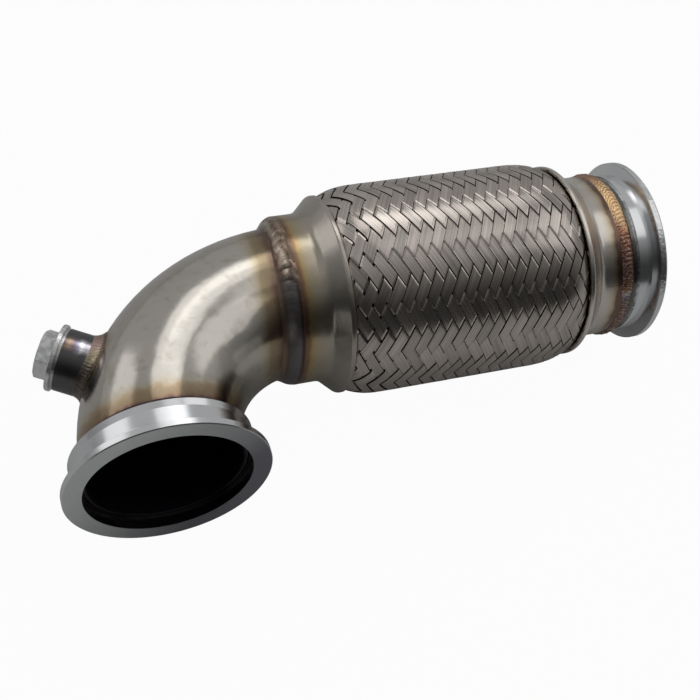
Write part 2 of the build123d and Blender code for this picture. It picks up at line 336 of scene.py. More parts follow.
def braid_crown(x):
    """Radius over the strands: it swells from each tucked end to the full size."""
    along = min(x - BRAID_START_X, BRAID_END_X - x) / BRAID_SHOULDER
    return BRAID_R - BRAID_DROP * (1 - min(max(along, 0), 1)) ** 3


def weave_shift(x):
    """How far the weave has crept at x, eased between the known places."""
    if x <= WEAVE_CREEP[0][0]:
        return WEAVE_CREEP[0][1]
    for (a, low), (b, high) in zip(WEAVE_CREEP, WEAVE_CREEP[1:]):
        if x <= b:
            share = (x - a) / (b - a)
            return low + (high - low) * share * share * (3 - 2 * share)
    return WEAVE_CREEP[-1][1]


def strand_level(column, over_centre):
    """1 where a strand runs over the others, -1 where it runs under them."""
    away = abs((column - over_centre + 2) % 4 - 2)
    share = min(max((1 - away) / STRAND_SLOPE + 0.5, 0), 1)
    return 2 * share * share * (3 - 2 * share) - 1


class DOWNPIPE_OT_braid(bpy.types.Operator):
    """Weaves the braid: two layers of flat wire strands, two over and two under"""

    bl_idname = "downpipe.braid"
    bl_label = "Weave braid"

    def execute(self, context):
        sizes = context.scene.downpipe_braid
        material = self.finish(context.scene.downpipe_steel)
        family = {"braid_strands_left": (1, 0.5), "braid_strands_right": (-1, 2.5)}
        for name, (way, over_centre) in family.items():
            piece = self.strands(name, way, over_centre, sizes, material)
            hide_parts("braid")
            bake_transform(piece)
        return {"FINISHED"}

    def finish(self, steel):
        f = Finish("braid_steel")
        tone = Value(f, f.node("Attribute", {"attribute_name": "strand_tone"}).outputs["Fac"])
        cloud = f.noise(0.06, 2)
        fine = f.noise(1.6, 2)
        base = f.mix(tone, tuple(steel.braid_cool), tuple(steel.braid_warm))
        shade = f.mix(cloud, (0.72, 0.72, 0.72), (1, 1, 1))
        colour = f.mix(1.0, base, shade, "MULTIPLY")
        # Painted shade: the strands' sides and undersides are coloured near black, as the gaps between
        # strands fall in shade.
        painted_side_shade = tone.rise(-0.1, -0.6)
        colour = f.mix(painted_side_shade, colour, (0.06, 0.05, 0.045))
        roughness = 0.13 + fine * 0.08 + tone.at_least(0) * 0.07
        return f.metal(colour, roughness, fine, 0.01)

    def strands(self, name, way, over_centre, sizes, material):
        """All strands that wind one way, each a flat band with a ridge for every wire."""
        rng = random.Random(17 if way > 0 else 29)
        step_length = (BRAID_END_X - BRAID_START_X) / STEPS
        thickness = sizes.strand_thickness * 1000
        wires = sizes.wires
        across = 2 * wires + 1
        size = across + 2
        runs = self.runs(1.5 if way > 0 else 0.5)
        points = []
        faces = []
        tones = []
        for strand in range(COLUMNS // 2):
            lift = rng.uniform(-0.03, 0.03)
            width = sizes.strand_fill * rng.uniform(0.975, 1.01)
            sway = rng.uniform(0, 2 * math.pi)
            tone = rng.random()
            wire_tones = [0.5 * tone + 0.5 * rng.random() for _ in range(wires)]
            first = len(points)
            for u in runs:
                column = 2 * strand + way * u
                level = strand_level(column, over_centre)
                under = (1 - level) / 2 * (thickness + STRAND_GAP)
                shift = 0.02 * math.sin(0.35 * u + sway)
                for q, depth in self.ring(u, width, shift, across, thickness, sizes.wire_relief * 1000):
                    c = column + q
                    x = BRAID_START_X + (u - way * q if way > 0 else u + q) * step_length
                    x += weave_shift(x)
                    r = braid_crown(x) - depth - under + lift - BRAID_SINK
                    angle = WEAVE_TURN + 2 * math.pi * c / COLUMNS
                    points.append(around_flex(x, r, angle))
            for i in range(len(runs) - 1):
                for j in range(size):
                    a = first + i * size + j
                    b = first + i * size + (j + 1) % size
                    quad = (a, b, b + size, a + size)
                    faces.append(quad if way < 0 else quad[::-1])
            ends = [tuple(range(first, first + size)),
                    tuple(reversed(range(len(points) - size, len(points))))]
            for end in ends:
                faces.append(end[::-1] if way < 0 else end)
            around = [wire_tones[j // 2] if j < across - 1 else SHADED_SIDE_TONE for j in range(size)]
            tones += around * (len(runs) - 1) + [tone, tone]
        piece = make_piece(name, points, faces, material)
        attribute = piece.data.attributes.new("strand_tone", "FLOAT", "FACE")
        attribute.data.foreach_set("value", tones[:len(piece.data.polygons)])
        return piece

    @staticmethod
    def runs(crossing):
        """Places along a strand, in steps, that get a ring of points."""
        places = [
            2 * cell + crossing + offset for cell in range(-2, STEPS // 2 + 2) for offset in RING_OFFSETS
        ]
        return [u for u in places if 0 <= u <= STEPS]

    @staticmethod
    def ring(u, width, shift, across, thickness, relief):
        """A strand's section as (place across, depth), drawn in a little beside the front cap."""
        loose = 1 - 0.15 * max(0, 1 - abs(u - 4) / 4.5)
        half = width * loose / 2
        section = []
        for k in range(across):
            q = (k / (across - 1) * 2 - 1) * half + shift
            edge = k in (0, across - 1)
            section.append((q, 0.3 * relief if edge else (k + 1) % 2 * relief))
        section.append((half * 0.96 + shift, thickness))
        section.append((-half * 0.96 + shift, thickness))
        return section


# Inner tubes

class DOWNPIPE_OT_inner_tubes(bpy.types.Operator):
    """Builds the bellows and the interlock liner of the flex joint"""

    bl_idname = "downpipe.inner_tubes"
    bl_label = "Form bellows and liner"

    def execute(self, context):
        self.add("bellows_waves", "bellows", self.bellows_section(), "bellows_steel", 0.22)
        self.add("liner_turns", "interlock_liner", self.liner_section(), "liner_steel", 0.4)
        return {"FINISHED"}

    def add(self, name, node, section, slot, roughness):
        f = Finish(slot)
        wear = f.noise(0.3, 3)
        colour = f.mix(wear, (0.36, 0.35, 0.34), (0.5, 0.49, 0.47))
        material = f.metal(colour, roughness + wear * 0.15, f.noise(2.0, 2), 0.01)
        piece = turned_on_flex(name, section, material, rows=96, sharp=40)
        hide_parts(node)
        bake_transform(piece)

    def bellows_section(self):
        low, high, wall, pitch, waves = CUFF_R, 47.4, 0.4, 6.0, 15
        start = (FRONT_EDGE_X + REAR_EDGE_X) / 2 - pitch * waves / 2
        outer = [(start - 19.3, low)]
        inner = [(start - 19.3, low - wall)]
        for i in range(waves):
            middle = start + (i + 0.5) * pitch
            for offset, level in ((-2.3, 0), (-2.0, 0.16), (-1.5, 0.84), (-1.1, 0.97), (-0.5, 1.0),
                                  (0.5, 1.0), (1.1, 0.97), (1.5, 0.84), (2.0, 0.16), (2.3, 0)):
                outer.append((middle + offset, low + (high - low) * level))
            for offset, level in ((-2.7, 0), (-2.3, 0.06), (-1.2, 0.88), (-0.7, 1.0),
                                  (0.7, 1.0), (1.2, 0.88), (2.3, 0.06), (2.7, 0)):
                inner.append((middle + offset, low - wall + (high - low) * level))
        end = start + waves * pitch + 19.3
        outer.append((end, low))
        inner.append((end, low - wall))
        return outer + inner[::-1]

    def liner_section(self):
        inner_r = LINER_R - 1.5
        start, end, pitch = 84.7, 215.5, 5.0
        outer = []
        inner = []
        x = start
        while x < end - 0.1:
            width = min(pitch, end - x)
            outer += [(x, LINER_R - 0.35), (x + 0.5, LINER_R), (x + width - 0.4, LINER_R)]
            inner += [(x, inner_r + 0.4), (x + 0.7, inner_r), (x + width - 0.5, inner_r)]
            x += pitch
        outer.append((end, LINER_R - 0.35))
        inner.append((end, inner_r + 0.4))
        return outer + inner[::-1]


# Weld beads

def between(table, t):
    """Value at t of a table of (t, value) pairs, with straight runs between them."""
    for (a, low), (b, high) in zip(table, table[1:]):
        if t <= b:
            return low + (high - low) * max(t - a, 0) / (b - a)
    return table[-1][1]


def elbow_reach(x, angle):
    """Distance from the flex joint's axis to the elbow's outside."""
    low, high = 25.0, 45.0
    for _ in range(24):
        middle = (low + high) / 2
        _, y, z = around_flex(x, middle, angle)
        ring = math.hypot(x - BEND_R, y - INLET_LEAD) - BEND_R
        if math.hypot(ring, z) > PIPE_R:
            high = middle
        else:
            low = middle
    return low


def offsets(rng, count):
    """Random numbers from -1 to 1, one for each ripple."""
    return [rng.uniform(-1, 1) for _ in range(count)]


def ring_angles(rows):
    """Each row's angle around an axis, in radians and in degrees from -180 to 180."""
    for i in range(rows):
        angle = 2 * math.pi * i / rows
        yield i, angle, (math.degrees(angle) + 180) % 360 - 180


def ripple(phase, depth, wobble):
    """Height of a bead's ripples, which meet in sharp lines, with some higher than others."""
    cell = int(phase) % len(wobble)
    crest = math.sin(math.pi * (phase % 1.0)) ** 0.45
    return depth * (crest * (0.8 + 0.4 * wobble[cell]) - 0.68)


class DOWNPIPE_OT_ring_welds(bpy.types.Operator):
    """Lays the rippled beads at the inlet flange, the front cap and the outlet flange"""

    bl_idname = "downpipe.ring_welds"
    bl_label = "Lay ring welds"

    def execute(self, context):
        self.elbow_bead()
        self.outlet_bead()
        self.inlet_bead()
        return {"FINISHED"}

    def lay(self, name, node, points, faces, material, body):
        piece = make_piece(name, points, faces, material)
        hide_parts(node)
        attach(piece, body)

    def elbow_bead(self):
        """A wide bead up to the cap's mouth: lumpy above, nearly smooth below."""
        count, per_ripple = 44, 12
        rows = count * per_ripple
        wobble = offsets(random.Random(11), count)
        lumps = [
            (-180, 0.08), (-120, 0.15), (-60, 0.4), (0, 0.5), (45, 0.5), (70, 0.65), (84, 1.0),
            (112, 1.0), (124, 0.12), (180, 0.08),
        ]
        start = [(-180, 61.0), (-110, 62.0), (0, 63.6), (80, 63.4), (125, 61.4), (180, 61.0)]
        rise = (0, 0.05, 0.16, 0.33, 0.52, 0.7, 0.83, 0.92, 0.98, 1.0)
        columns = len(rise)
        points = []
        for i, angle, degrees in ring_angles(rows):
            depth = between(lumps, degrees)
            first = between(start, degrees)
            foot = elbow_reach(first, angle) - 0.06
            for j, share in enumerate(rise):
                t = j / (columns - 1)
                x = first + (71.2 - first) * t
                r = foot + (NECK_R + 0.06 - foot) * share
                r = max(r, elbow_reach(min(x, 74.0), angle) - 0.3) if j < 3 else r
                body = max(0, math.sin(math.pi * (t * 1.1 - 0.2))) if t < 0.97 else 0
                phase = i / per_ripple + 1.1 * (1 - (2 * t - 1) ** 2)
                r += body * ripple(phase, depth, wobble)
                points.append(around_flex(x, r, angle))
            points.append(around_flex(70.9, NECK_R - 0.5, angle))
            points.append(around_flex(MOUTH_X + 0.3, PIPE_R - 0.6, angle))
            points.append(around_flex(first + 1.5, elbow_reach(first, angle) - 1.2, angle))
        f = Finish("elbow_weld_steel")
        patch = f.noise(0.14, 3)
        share = f.turn_share() + (patch - 0.5) * 0.07
        along = (f.x - 62.5) / 10
        upper = f.ramp(along + (patch - 0.5) * 0.5, [
            (0.0, (0.26, 0.18, 0.14)), (0.2, (0.14, 0.09, 0.075)), (0.42, (0.52, 0.44, 0.36)),
            (0.6, (0.2, 0.14, 0.11)), (0.76, (0.42, 0.32, 0.24)), (0.9, (0.26, 0.17, 0.12)),
        ])
        lower = f.ramp(along, [
            (0.0, (0.24, 0.17, 0.12)), (0.12, (0.15, 0.12, 0.1)), (0.25, (0.19, 0.175, 0.17)),
            (0.62, (0.19, 0.175, 0.175)), (0.76, (0.09, 0.06, 0.05)), (0.88, (0.24, 0.15, 0.1)),
        ])
        sides = f.ramp(share, [
            (0.5, (0, 0, 0)), (0.6, (1, 1, 1)), (0.8, (1, 1, 1)), (0.835, (0, 0, 0)),
        ])
        colour = f.mix(sides, lower, upper)
        roughness = 0.14 + patch * 0.1 + share.rise(0.8, 0.84) * 0.16
        material = f.metal(colour, roughness, f.noise(0.7, 4), 0.12)
        faces = closed_ring(rows, columns + 3)
        self.lay("elbow_weld_bead", "elbow_weld", points, faces, material, "inlet_side")

    def outlet_bead(self):
        """A narrow-pitched bead with a crater where it was closed, and a thinner last run."""
        count, per_ripple = 120, 8
        rows = count * per_ripple
        half_width = 3.6
        rng = random.Random(23)
        wobble = offsets(rng, count)
        drift = offsets(rng, count)
        widths = [
            (-180, 0.62), (-140, 0.75), (-60, 1.0), (60, 1.0), (95, 1.12), (150, 1.0), (158, 0.95),
            (166, 0.55), (180, 0.62),
        ]
        outline = (
            (-1, -0.2), (-0.75, 0.32), (-0.45, 0.7), (-0.1, 0.95), (0.3, 0.95), (0.65, 0.4), (1, -1.5),
        )
        points = []
        for i, angle, degrees in ring_angles(rows):
            width = between(widths, degrees)
            crater = max(0, 1 - abs(degrees - 161) / 4.5)
            cell = i // per_ripple
            for j, (across, up) in enumerate(outline):
                x = NECK_END_X + half_width * across * (width if across < 0 else 0.5 + 0.5 * width)
                r = NECK_R + up * (0.75 + 0.25 * width) - 0.5 * crater * (1 - across * across)
                if 0 < j < len(outline) - 1:
                    phase = i / per_ripple + 2.0 * (1 - across * across) + 0.3 * drift[cell]
                    r += ripple(phase, 0.45 * (1 - crater), wobble)
                    x += 0.3 * drift[cell]
                points.append(around_flex(x, r, angle))
            points.append(around_flex(NECK_END_X + 3.0, SPIGOT_R - 0.6, angle))
            points.append(around_flex(NECK_END_X - 0.6, NECK_R - 0.8, angle))
        f = Finish("outlet_weld_steel")
        patch = f.noise(0.3, 3)
        share = f.turn_share() + (patch - 0.5) * 0.05
        colour = f.ramp(share, [
            (0.0, (0.3, 0.2, 0.17)), (0.3, (0.5, 0.36, 0.24)), (0.66, (0.62, 0.36, 0.24)),
            (0.7, (0.95, 0.68, 0.36)), (0.79, (0.97, 0.66, 0.34)), (0.82, (0.55, 0.27, 0.17)),
            (0.9, (0.34, 0.2, 0.19)), (0.925, (0.42, 0.25, 0.14)), (0.94, (0.5, 0.49, 0.52)),
            (0.952, (0.3, 0.28, 0.34)), (0.965, (0.3, 0.2, 0.17)),
        ])
        # Painted shade: the bead's far flank, past its crown, is coloured dark brown.
        edge = (f.x - NECK_END_X + (patch - 0.5) * 2).rise(1.6, 2.8)
        colour = f.mix(edge * 0.85, colour, (0.12, 0.11, 0.09))
        reach = (f.x - NECK_END_X) / half_width
        wave = (f.turn_share() - 0.5) * count + (1 - reach * reach) * 2.0 + (patch - 0.5)
        groove = (wave * (2 * math.pi)).sine().rise(-0.2, -0.9)
        colour = f.mix(groove * 0.75, colour, (0.45, 0.2, 0.09), "MULTIPLY")
        # Painted glints: pale specks on the bead; the same noise also roughens its surface.
        glint_speck = f.noise(1.1, 4)
        colour = f.mix(glint_speck.rise(0.5, 0.65) * 0.55, colour, (0.75, 0.66, 0.56))
        material = f.metal(colour, 0.12 + patch * 0.1, glint_speck, 0.4)
        faces = closed_ring(rows, len(outline) + 2)
        self.lay("outlet_weld_bead", "outlet_weld", points, faces, material, "outlet_side")

    def inlet_bead(self):
        """A thin bead between the inlet flange's bevel and the elbow."""
        count, per_ripple = 170, 6
        rows = count * per_ripple
        wobble = offsets(random.Random(31), count)
        section = ((-1.4, 37.5), (-0.8, 37.5), (0.2, 36.9), (1.1, 36.1), (2.0, 35.3), (2.5, 34.7))
        points = []
        for i, angle, _ in ring_angles(rows):
            for j, (y, r) in enumerate(section):
                if 0 < j < len(section) - 1:
                    r += ripple(i / per_ripple + 0.3 * j, 0.16, wobble)
                points.append((r * math.cos(angle), BEVEL_END + y, r * math.sin(angle)))
            points.append((34.5 * math.cos(angle), BEVEL_END - 0.2, 34.5 * math.sin(angle)))
        f = Finish("inlet_weld_steel")
        patch = f.noise(0.25, 3)
        colour = f.ramp(patch, [
            (0.35, (0.07, 0.06, 0.09)), (0.52, (0.16, 0.13, 0.18)), (0.7, (0.42, 0.4, 0.45)),
        ])
        faces = [f[::-1] for f in closed_ring(rows, len(section) + 1)]
        material = f.metal(colour, 0.26)
        self.lay("inlet_weld_bead", "inlet_flange_weld", points, faces, material, "inlet_side")


def pipe_height(rho, alpha):
    """Height on the bung's axis at which a point beside it meets the elbow's outside."""
    side = BUNG_X * (rho * math.cos(alpha)) + BUNG_Y * (rho * math.sin(alpha))
    low, high = 10.0, 60.0
    for _ in range(30):
        middle = (low + high) / 2
        point = BUNG_FOOT + side + BUNG_AXIS * middle - BEND_CENTRE
        ring = math.hypot(point.x, point.y) - BEND_R
        if math.hypot(ring, point.z) > PIPE_R:
            high = middle
        else:
            low = middle
    return low


class DOWNPIPE_OT_bung_weld(bpy.types.Operator):
    """Lays the fillet weld round the sensor bung's foot"""

    bl_idname = "downpipe.bung_weld"
    bl_label = "Lay bung weld"

    def execute(self, context):
        count, per_ripple = 60, 8
        rows = count * per_ripple
        wobble = offsets(random.Random(41), count)
        section = (
            (-0.3, 4.6), (0.12, 3.9), (0.4, 2.9), (0.85, 2.0), (1.5, 1.2), (2.3, 0.6), (3.1, 0.15),
            (3.5, -0.3),
        )
        points = []
        for i, angle, _ in ring_angles(rows):
            for j, (out, up) in enumerate(section):
                height = up
                if 0 < j < len(section) - 1:
                    lag = 0.8 * math.sin(math.pi * j / (len(section) - 1))
                    height += ripple(i / per_ripple + lag, 0.3, wobble)
                rho = BUNG_R + out
                points.append(self.place(rho, angle, pipe_height(rho, angle) + height))
            points.append(self.place(BUNG_R - 0.4, angle, pipe_height(BUNG_R - 0.4, angle) - 0.4))
        f = Finish("bung_weld_steel")
        patch = f.noise(0.22, 3)
        _, from_axis, turn = about_bung(f)
        colour = f.ramp(turn / (2 * math.pi) + 0.5 + (patch - 0.5) * 0.12, [
            (0.0, (0.13, 0.11, 0.095)), (0.16, (0.17, 0.145, 0.12)), (0.2, (0.4, 0.36, 0.25)),
            (0.235, (0.56, 0.47, 0.36)), (0.265, (0.68, 0.5, 0.44)), (0.34, (0.5, 0.34, 0.29)),
            (0.6, (0.22, 0.165, 0.135)), (1.0, (0.13, 0.11, 0.095)),
        ])
        groove = (turn * count + patch * 12 + from_axis).sine().rise(-0.2, -0.9)
        colour = f.mix(groove * 0.5, colour, (0.5, 0.38, 0.33), "MULTIPLY")
        # Painted shade: the fillet's toe, where it meets the elbow, is coloured dark brown.
        toe_shade = (from_axis + (patch - 0.5) * 2).rise(BUNG_R + 1.6, BUNG_R + 2.8)
        colour = f.mix(toe_shade * 0.8, colour, (0.12, 0.085, 0.06))
        material = f.metal(colour, 0.18 + patch * 0.12, f.noise(0.9, 4), 0.14)
        piece = make_piece("bung_weld_bead", points, closed_ring(rows, len(section) + 1), material)
        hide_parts("sensor_bung_weld")
        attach(piece, "inlet_side")
        return {"FINISHED"}

    @staticmethod
    def place(rho, angle, height):
        side = BUNG_X * (rho * math.cos(angle)) + BUNG_Y * (rho * math.sin(angle))
        return tuple(BUNG_FOOT + side + BUNG_AXIS * height)


# Finishes of the solids that stay

class DOWNPIPE_OT_elbow(bpy.types.Operator):
    """Gives the elbow its drawn steel, with heat tint beside each weld"""

    bl_idname = "downpipe.elbow"
    bl_label = "Finish elbow"

    def execute(self, context):
        steel = context.scene.downpipe_steel
        f = Finish("elbow_steel")
        in_bend = f.y.above(INLET_LEAD)
        ring = hypot(f.x - BEND_R, f.y - INLET_LEAD) - BEND_R
        minor = hypot(ring, f.z) * in_bend + hypot(f.x, f.z) * (1 - in_bend)
        bore_painted_dark = minor.rise(PIPE_R - 0.5, PIPE_R - 0.8)
        turn = (f.y - INLET_LEAD).angle_from(BEND_R - f.x)
        round_pipe = f.z.angle_from(ring)
        drawn = f.vector(turn * 12, round_pipe * 35, 0)
        streaks = f.noise(1.0, 3, where=drawn)
        clouds = f.noise(0.035, 3)
        wobble = (f.noise(0.08, 3) - 0.5) * 4

        tone = f.mix(clouds, tuple(steel.pipe_dark), tuple(steel.pipe_light))
        start = 61.3 + f.turn_share().rise(0.84, 0.76) * 1.6
        to_cap = (start - f.x + wobble * 0.6).at_least(0) + (f.y - 40).rise(0, -20) * 60
        colour = f.tint(tone, to_cap, [
            (0, (0.24, 0.16, 0.13), 0.95), (1.6, (0.36, 0.25, 0.18), 0.95), (3, (0.5, 0.38, 0.25), 0.95),
            (6.4, (0.6, 0.5, 0.34), 0.95), (8.2, (0.8, 0.7, 0.5), 0.8), (11, (0.96, 0.91, 0.8), 0.6),
            (16, (1, 1, 1), 0),
        ])
        blotches = f.noise(0.3, 4)
        to_inlet = (f.y - BEVEL_END - 2.0 + wobble * 0.7 + (blotches - 0.5) * 5).at_least(0)
        colour = f.tint(colour, to_inlet, [
            (0, (0.2, 0.13, 0.17), 0.95), (0.8, (0.4, 0.25, 0.19), 0.95), (2.2, (0.56, 0.4, 0.27), 0.92),
            (4.5, (0.62, 0.48, 0.32), 0.9), (6.5, (0.74, 0.57, 0.37), 0.85),
            (8.5, (0.86, 0.77, 0.58), 0.6), (14, (1, 1, 1), 0),
        ])
        along, from_axis, _ = about_bung(f)
        to_bung = (from_axis - BUNG_R - 3.3 + wobble * 0.3).at_least(0) + along.rise(20, 0) * 60
        colour = f.tint(colour, to_bung, [
            (0, (0.42, 0.3, 0.22), 0.9), (1.2, (0.62, 0.47, 0.34), 0.8), (3, (0.86, 0.74, 0.58), 0.5),
            (5.5, (1, 0.97, 0.92), 0.1), (7, (1, 1, 1), 0),
        ])
        smudge = f.noise(0.16, 4)
        colour = f.mix(smudge.rise(0.5, 0.75) * 0.35, colour, (0.3, 0.26, 0.2))
        # Painted shade: the pipe's bore is coloured near black, as little light reaches inside.
        colour = f.mix(bore_painted_dark, colour, (0.03, 0.03, 0.045))
        roughness = 0.06 + streaks * 0.06 + clouds * 0.07 + smudge * 0.06 + bore_painted_dark * 0.35
        uneven = f.noise(0.045, 2) * 26 + f.noise(0.13, 3) * 3
        height = streaks + f.noise(3.0, 2) * 0.4 + uneven
        dress("elbow", f.metal(colour, roughness, height, 0.012))
        return {"FINISHED"}


class DOWNPIPE_OT_caps(bpy.types.Operator):
    """Gives both end caps and the ferrules their pressed steel and heat tint"""

    bl_idname = "downpipe.caps"
    bl_label = "Finish end caps"

    def execute(self, context):
        steel = context.scene.downpipe_steel
        front = self.finish("front_cap_steel", steel, MOUTH_X + 1.6, 1)
        rear = self.finish("rear_cap_steel", steel, NECK_END_X - 3.8, -1)
        self.cap("front_cap_pressing", "front_cap", "inlet_side", FRONT_EDGE_X, -1, MOUTH_X, front)
        self.cap("rear_cap_pressing", "rear_cap", "outlet_side", REAR_EDGE_X, 1, NECK_END_X, rear)
        plain = self.finish("ferrule_steel", steel, FAR_FROM_WELD, 1)
        dress("front_ferrule", plain)
        dress("rear_ferrule", plain)
        return {"FINISHED"}

    def cap(self, name, node, body, edge_x, way, neck_end, material):
        """A pressed cap with soft bends between its band, cone and neck."""
        wall = NECK_R - NECK_INNER_R
        band, cone = BAND_WIDTH, BAND_WIDTH + CONE_LENGTH
        length = abs(neck_end - edge_x)
        corners = [
            (0, BAND_R, 0.3), (band, BAND_R, 1.6), (cone, NECK_R, 7), (length, NECK_R, 0.4),
            (length, NECK_INNER_R, 0), (cone - CORNER_SHIFT, NECK_INNER_R, 7),
            (band - CORNER_SHIFT, BAND_R - wall, 0.6), (0, BAND_R - wall, 0.2),
        ]
        section = [(edge_x + way * t, r) for t, r in rounded(corners)]
        piece = turned_on_flex(name, section[::-1] if way < 0 else section, material, rows=192)
        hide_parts(node)
        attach(piece, body)

    def finish(self, name, steel, weld_x, way):
        f = Finish(name)
        r = hypot(f.y - FLEX_Y, f.z)
        turn = f.z.angle_from(f.y - FLEX_Y)
        lathe = f.noise(1.0, 2, where=f.vector(f.x * 5, r * 5, turn * 0.8))
        clouds = f.noise(0.05, 3)
        wobble = (f.noise(0.12, 3) - 0.5) * 3
        dark, light = (
            (steel.front_cap_dark, steel.front_cap_light) if way > 0
            else (steel.rear_cap_dark, steel.rear_cap_light)
        )
        tone = f.mix(clouds, tuple(dark), tuple(light))
        distance = ((f.x - weld_x) * way + wobble).at_least(0)
        if way > 0:
            stops = [(0, (0.4, 0.28, 0.2), 0.9), (1.0, (0.7, 0.42, 0.22), 0.95),
                     (2.2, (1.0, 0.78, 0.4), 0.9), (5, (1.0, 0.91, 0.68), 0.8),
                     (10, (0.97, 0.93, 0.82), 0.5), (15, (1, 1, 1), 0)]
        else:
            stops = [(0, (0.25, 0.15, 0.12), 0.95), (1.6, (0.24, 0.16, 0.13), 0.95),
                     (2.4, (0.52, 0.42, 0.28), 0.9), (4.2, (0.84, 0.75, 0.58), 0.7),
                     (7, (1, 0.98, 0.97), 0.3), (10, (1, 1, 1), 0)]
        colour = f.tint(tone, distance, stops)
        roughness = 0.14 + lathe * 0.06 + clouds * 0.1
        return f.metal(colour, roughness, lathe + f.noise(0.07, 3) * 30, 0.006)


class DOWNPIPE_OT_flanges(bpy.types.Operator):
    """Gives both clamp flanges their turned steel"""

    bl_idname = "downpipe.flanges"
    bl_label = "Finish clamp flanges"

    def execute(self, context):
        steel = context.scene.downpipe_steel
        for name, flex in (("inlet_flange", False), ("outlet_flange", True)):
            f = Finish(name + "_steel")
            along = f.x if flex else f.y
            side = f.y - FLEX_Y if flex else f.x
            r = hypot(side, f.z)
            turn = f.z.angle_from(side)
            lathe = f.noise(1.0, 2, where=f.vector(along * 7, r * 7, turn * 1.2))
            clouds = f.noise(0.05, 3)
            tone = f.mix(clouds, tuple(steel.flange_dark), tuple(steel.flange_light))
            if flex:
                # Painted shade with heat tint: the dark strip on the collar beside the bead stands for
                # the shade of the bead's far flank.
                burr = f.noise(0.7, 4) - 0.5
                weld = (f.x - NECK_END_X - 3.0 + burr * 2.4).at_least(0)
                tone = f.tint(tone, weld, [
                    (0, (0.12, 0.12, 0.1), 0.95), (2.4, (0.2, 0.2, 0.17), 0.95),
                    (2.9, (0.3, 0.3, 0.26), 0.8), (3.4, (0.95, 0.95, 0.95), 0.3), (5, (1, 1, 1), 0),
                ])
            else:
                # Painted shade: the flange's bore is coloured near black, as little light reaches
                # inside.
                bore_painted_dark = r.rise(36.2, 35.9)
                tone = f.mix(bore_painted_dark, tone, (0.012, 0.012, 0.016))
                face = f.y.rise(0.3, 0.05)
                # Painted reflection and shade: the face is coloured lighter to the left and top and
                # darker to the right and bottom, as if it mirrored a floor lying in the pipe's shadow.
                face_reflection_shade = f.ramp((f.x - f.z * 0.6) / 100 + 0.5 + (clouds - 0.5) * 0.2, [
                    (0.1, (0.8, 0.85, 0.82)), (0.5, (0.46, 0.48, 0.485)), (0.85, (0.16, 0.16, 0.19)),
                ])
                tone = f.mix(face * 0.9, tone, face_reflection_shade)
            roughness = 0.12 + lathe * 0.05 + clouds * 0.06
            height = lathe * 0.1
            if flex:
                rim = r.rise(43.7, 44.1)
                nicks = f.noise(0.4, 3, where=f.vector(f.x * 0.7, r, turn * 40))
                height = height + rim * nicks * 8
            else:
                roughness = roughness + face * 0.2 + bore_painted_dark * 0.1
            dress(name, f.metal(tone, roughness, height, 0.05))
        return {"FINISHED"}


class DOWNPIPE_OT_sensor_port(bpy.types.Operator):
    """Gives the sensor bung, its washer and its plug their blued and plated steel"""

    bl_idname = "downpipe.sensor_port"
    bl_label = "Finish sensor port"

    def execute(self, context):
        f = Finish("bung_dark_steel")
        patch = f.noise(0.15, 3)
        along, _, turn = about_bung(f)
        dark = f.mix(patch, (0.09, 0.095, 0.1), (0.17, 0.165, 0.165))
        # Painted highlight: a streak along the bung's top, in heat-tint colours with a near-white glint,
        # over the dark body.
        tint_and_highlight = f.ramp((along - 36) / 12 + (patch - 0.5) * 0.5, [
            (0.1, (0.5, 0.48, 0.52)), (0.25, (0.85, 0.85, 0.9)), (0.38, (0.38, 0.38, 0.46)),
            (0.55, (0.24, 0.19, 0.23)), (0.75, (0.4, 0.29, 0.21)), (0.9, (0.18, 0.14, 0.13)),
        ])
        highlight_streak = abs(turn + 1.6 + (patch - 0.5) * 0.3).rise(0.34, 0.12)
        dress("sensor_bung", f.metal(
            f.mix(highlight_streak, dark, tint_and_highlight), 0.24 + patch * 0.1 - highlight_streak * 0.12, f.noise(1.5, 3), 0.008))
        f = Finish("plug_zinc")
        patch = f.noise(0.35, 4)
        colour = f.mix(patch.rise(0.35, 0.65), (0.6, 0.615, 0.61), (0.95, 0.96, 0.95))
        # Painted light: the hex head's lower facet is coloured lighter, as it faces the light.
        lower = f.z.rise(11.2, 10.4)
        colour = f.mix(lower * 0.7, colour, (0.97, 0.98, 0.97))
        dents = f.noise(0.5, 4) * (1 - lower * 0.7)
        dress("bung_plug", f.metal(colour, 0.16 + patch * 0.12, dents, 0.2, metallic=0.75))
        f = Finish("washer_zinc")
        patch = f.noise(0.35, 4)
        colour = f.mix(patch, (0.5, 0.51, 0.5), (0.7, 0.71, 0.7))
        dress("plug_washer", f.metal(colour, 0.18 + patch * 0.14, f.noise(0.5, 4), 0.16))
        return {"FINISHED"}


# Studio

# Each soft panel's name, azimuth and elevation in degrees, distance, width and height in metres.
PANELS = (
    ("top_panel", 74, 52, 1.4, 0.82, 0.55),
    ("core_panel", 72, 50, 1.38, 0.46, 0.26),
    ("upper_panel", 36, 72, 1.4, 0.75, 0.42),
    ("right_panel", 2, 48, 1.4, 0.95, 0.75),
    ("side_panel", -18, 6, 1.6, 0.8, 0.5),
    ("left_panel", 138, 28, 1.6, 0.85, 0.75),
)
PANEL_TARGET = Vector((0.11, 0.05, 0.0))
ROOM_DEPTH = 2000
ROOM_LEVELS = (
    (0.37, 0), (0.475, 0.16), (0.55, 0.4), (0.65, 0.58), (0.73, 0.95), (0.88, 0.9), (1, 1),
)


def aim(piece, place, target):
    piece.location = place
    piece.rotation_euler = (target - place).to_track_quat("-Z", "Y").to_euler()


